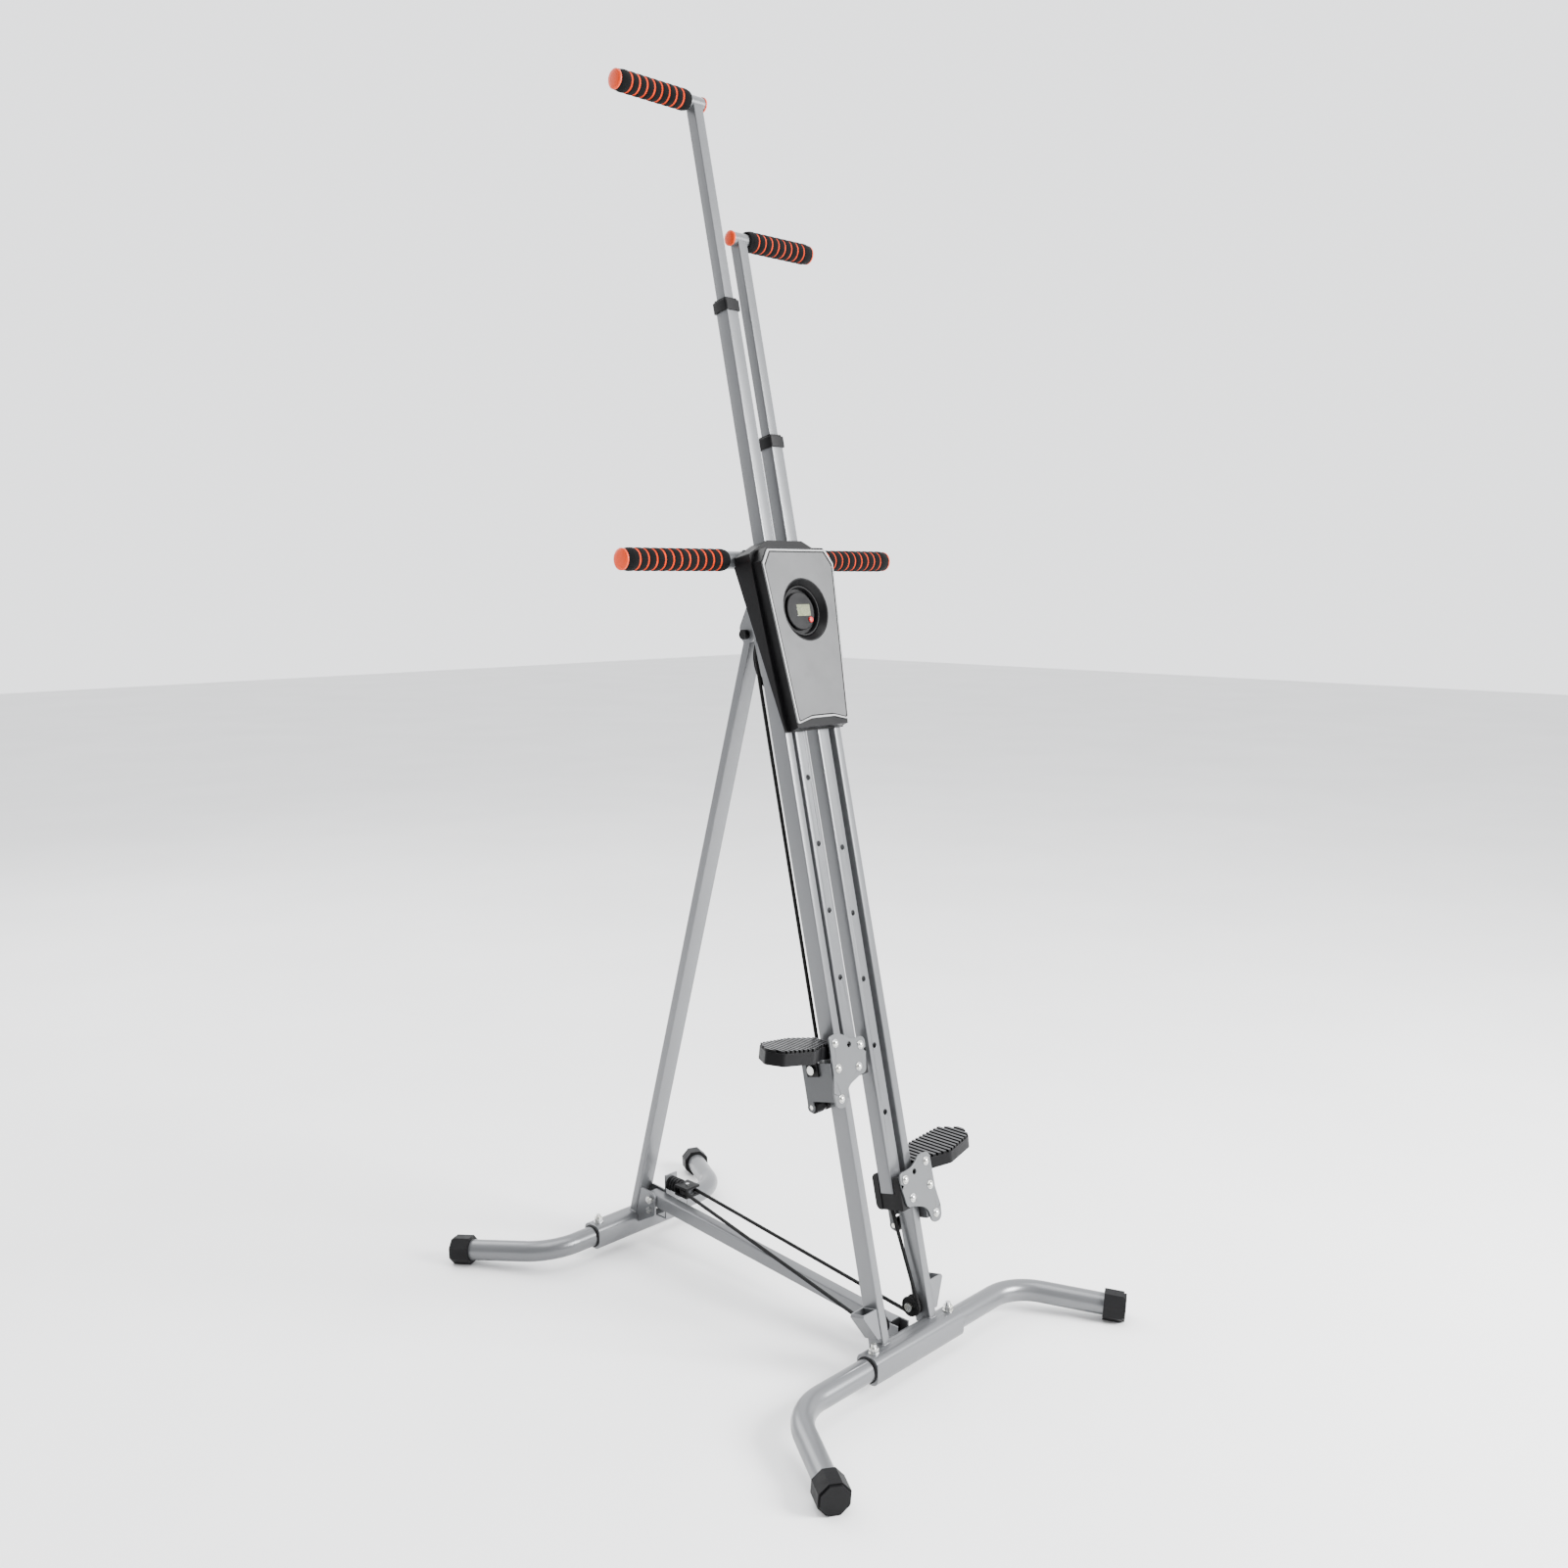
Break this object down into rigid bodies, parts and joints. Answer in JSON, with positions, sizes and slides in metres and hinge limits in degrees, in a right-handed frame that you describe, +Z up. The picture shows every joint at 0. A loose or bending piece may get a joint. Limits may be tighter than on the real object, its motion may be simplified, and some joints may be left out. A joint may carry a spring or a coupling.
{
  "type": "vertical climber",
  "caption": "Folding vertical climbing machine with a leaning mast, sliding poles with pedals and grips, a small console and splayed feet.",
  "frame": {"origin": "centre of the base footprint on the floor", "axes": "+Z up, +Y from the front base tube under the mast to the rear base tube, +X to the right of a user who faces +Y"},
  "size_m": [0.7114, 0.9508, 1.9082],
  "materials": {
    "frame_paint": "metallic silver grey powder coat",
    "plate_paint": "satin grey",
    "dark_paint": "satin dark grey",
    "black_plastic": "fine textured",
    "foam": "matte foam",
    "orange_plastic": "semi gloss",
    "panel": "satin grey",
    "lcd": "clear over an olive display",
    "red_plastic": "semi gloss",
    "zinc": "zinc plated",
    "rope": "braided black cord"
  },
  "bodies": {
    "frame": {"front_sleeve": "frame_paint", "front_foot_left": "frame_paint", "front_foot_right": "frame_paint", "front_caps": "black_plastic", "mast_tube_left": "frame_paint", "mast_tube_right": "frame_paint", "mast_crosshead": "frame_paint", "band_hooks": "frame_paint", "console_shell": "black_plastic", "console_panel": "panel", "display_cup": "black_plastic", "display_lens": "lcd", "handlebar": "frame_paint", "handlebar_grip_left": "foam", "handlebar_grip_right": "foam", "handlebar_plugs": "orange_plastic", "pulley_brackets": "zinc", "frame_bolts": "zinc", "hinge_knob": "black_plastic", "rope_upper": "rope", "rope_lower": "rope"},
    "left_carriage": {"pole_left": "frame_paint", "collar_left": "black_plastic", "carriage_plate_left": "plate_paint", "carriage_body_left": "dark_paint", "guide_block_left": "black_plastic", "carriage_bolts_left": "zinc", "pedal_left": "black_plastic"},
    "left_handle": {"handle_tube_left": "frame_paint", "handle_bar_left": "frame_paint", "handle_grip_left": "foam", "handle_plugs_left": "orange_plastic"},
    "left_roller": {"roller_left": "black_plastic"},
    "left_low_wheel": {"pulley_left": "black_plastic"},
    "right_carriage": {"pole_right": "frame_paint", "collar_right": "black_plastic", "carriage_plate_right": "plate_paint", "carriage_body_right": "dark_paint", "guide_block_right": "black_plastic", "carriage_bolts_right": "zinc", "pedal_right": "black_plastic"},
    "right_handle": {"handle_tube_right": "frame_paint", "handle_bar_right": "frame_paint", "handle_grip_right": "foam", "handle_plugs_right": "orange_plastic"},
    "right_roller": {"roller_right": "black_plastic"},
    "right_low_wheel": {"pulley_right": "black_plastic"},
    "top_wheel": {"pulley_top": "black_plastic"},
    "button": {"reset_button": "red_plastic"},
    "rear_base": {"rear_leg": "frame_paint", "rear_sleeve": "frame_paint", "rear_foot_left": "frame_paint", "rear_foot_right": "frame_paint", "rear_caps": "black_plastic", "rear_bracket": "frame_paint", "rear_pulley_block": "black_plastic", "rear_bolts": "zinc"},
    "rear_wheel": {"rear_pulley": "dark_paint"},
    "bar": {"bottom_bar": "frame_paint", "bar_plugs": "black_plastic"}
  },
  "joints": [
    {"name": "climb", "type": "slide", "parent": "frame", "child": "left_carriage", "axis": [0, 0.2198, 0.9755], "range_m": [-0.257, 0.043], "deforming": ["rope_upper", "rope_lower"]},
    {"name": "climb_right", "type": "slide", "parent": "frame", "child": "right_carriage", "axis": [0, 0.2198, 0.9755], "range_m": [-0.043, 0.257]},
    {"name": "left_handle_height", "type": "slide", "parent": "left_carriage", "child": "left_handle", "axis": [0, 0.2198, 0.9755], "range_m": [-0.26, 0.08]},
    {"name": "right_handle_height", "type": "slide", "parent": "right_carriage", "child": "right_handle", "axis": [0, 0.2198, 0.9755], "range_m": [-0.26, 0.08]},
    {"name": "left_roller_spin", "type": "hinge", "parent": "left_carriage", "child": "left_roller", "pos_m": [-0.067, -0.19249, 0.38596], "axis": [1, 0, 0], "continuous": true},
    {"name": "left_low_wheel_spin", "type": "hinge", "parent": "frame", "child": "left_low_wheel", "pos_m": [-0.038, -0.27982, 0.06941], "axis": [1, 0, 0], "continuous": true},
    {"name": "right_roller_spin", "type": "hinge", "parent": "right_carriage", "child": "right_roller", "pos_m": [0.067, -0.2391, 0.17915], "axis": [1, 0, 0], "continuous": true},
    {"name": "right_low_wheel_spin", "type": "hinge", "parent": "frame", "child": "right_low_wheel", "pos_m": [0.038, -0.27982, 0.06941], "axis": [1, 0, 0], "continuous": true},
    {"name": "top_wheel_spin", "type": "hinge", "parent": "frame", "child": "top_wheel", "pos_m": [0, -0.04456, 1.02917], "axis": [0, 0.9755, -0.2198], "continuous": true},
    {"name": "fold", "type": "hinge", "parent": "frame", "child": "rear_base", "pos_m": [0, 0.01372, 1.07], "axis": [-1, 0, 0], "range_deg": [0, 26]},
    {"name": "bar_fold", "type": "hinge", "parent": "rear_base", "child": "bar", "pos_m": [0, 0.2585, 0.088], "axis": [-1, 0, 0], "range_deg": [0, 78]},
    {"name": "rear_wheel_spin", "type": "hinge", "parent": "rear_base", "child": "rear_wheel", "pos_m": [0.026, 0.2065, 0.109], "axis": [0, 0, 1], "continuous": true},
    {"name": "reset", "type": "slide", "parent": "frame", "child": "button", "axis": [0, 0.9755, -0.2198], "range_m": [0, 0.0012], "stiffness_N_per_m": 600, "springref_m": -0.001}
  ],
  "couplings": [
    {"joint": "climb_right", "follows": "climb", "ratio": -1},
    {"joint": "left_roller_spin", "follows": "climb", "rad_per_m": 100},
    {"joint": "right_roller_spin", "follows": "climb", "rad_per_m": -100},
    {"joint": "left_low_wheel_spin", "follows": "climb", "rad_per_m": -76.923},
    {"joint": "right_low_wheel_spin", "follows": "climb", "rad_per_m": 76.923},
    {"joint": "top_wheel_spin", "follows": "climb", "rad_per_m": 18.519},
    {"joint": "rear_wheel_spin", "follows": "climb", "rad_per_m": 90.909},
    {"joint": "bar_fold", "follows": "fold", "ratio": 2.95}
  ]
}
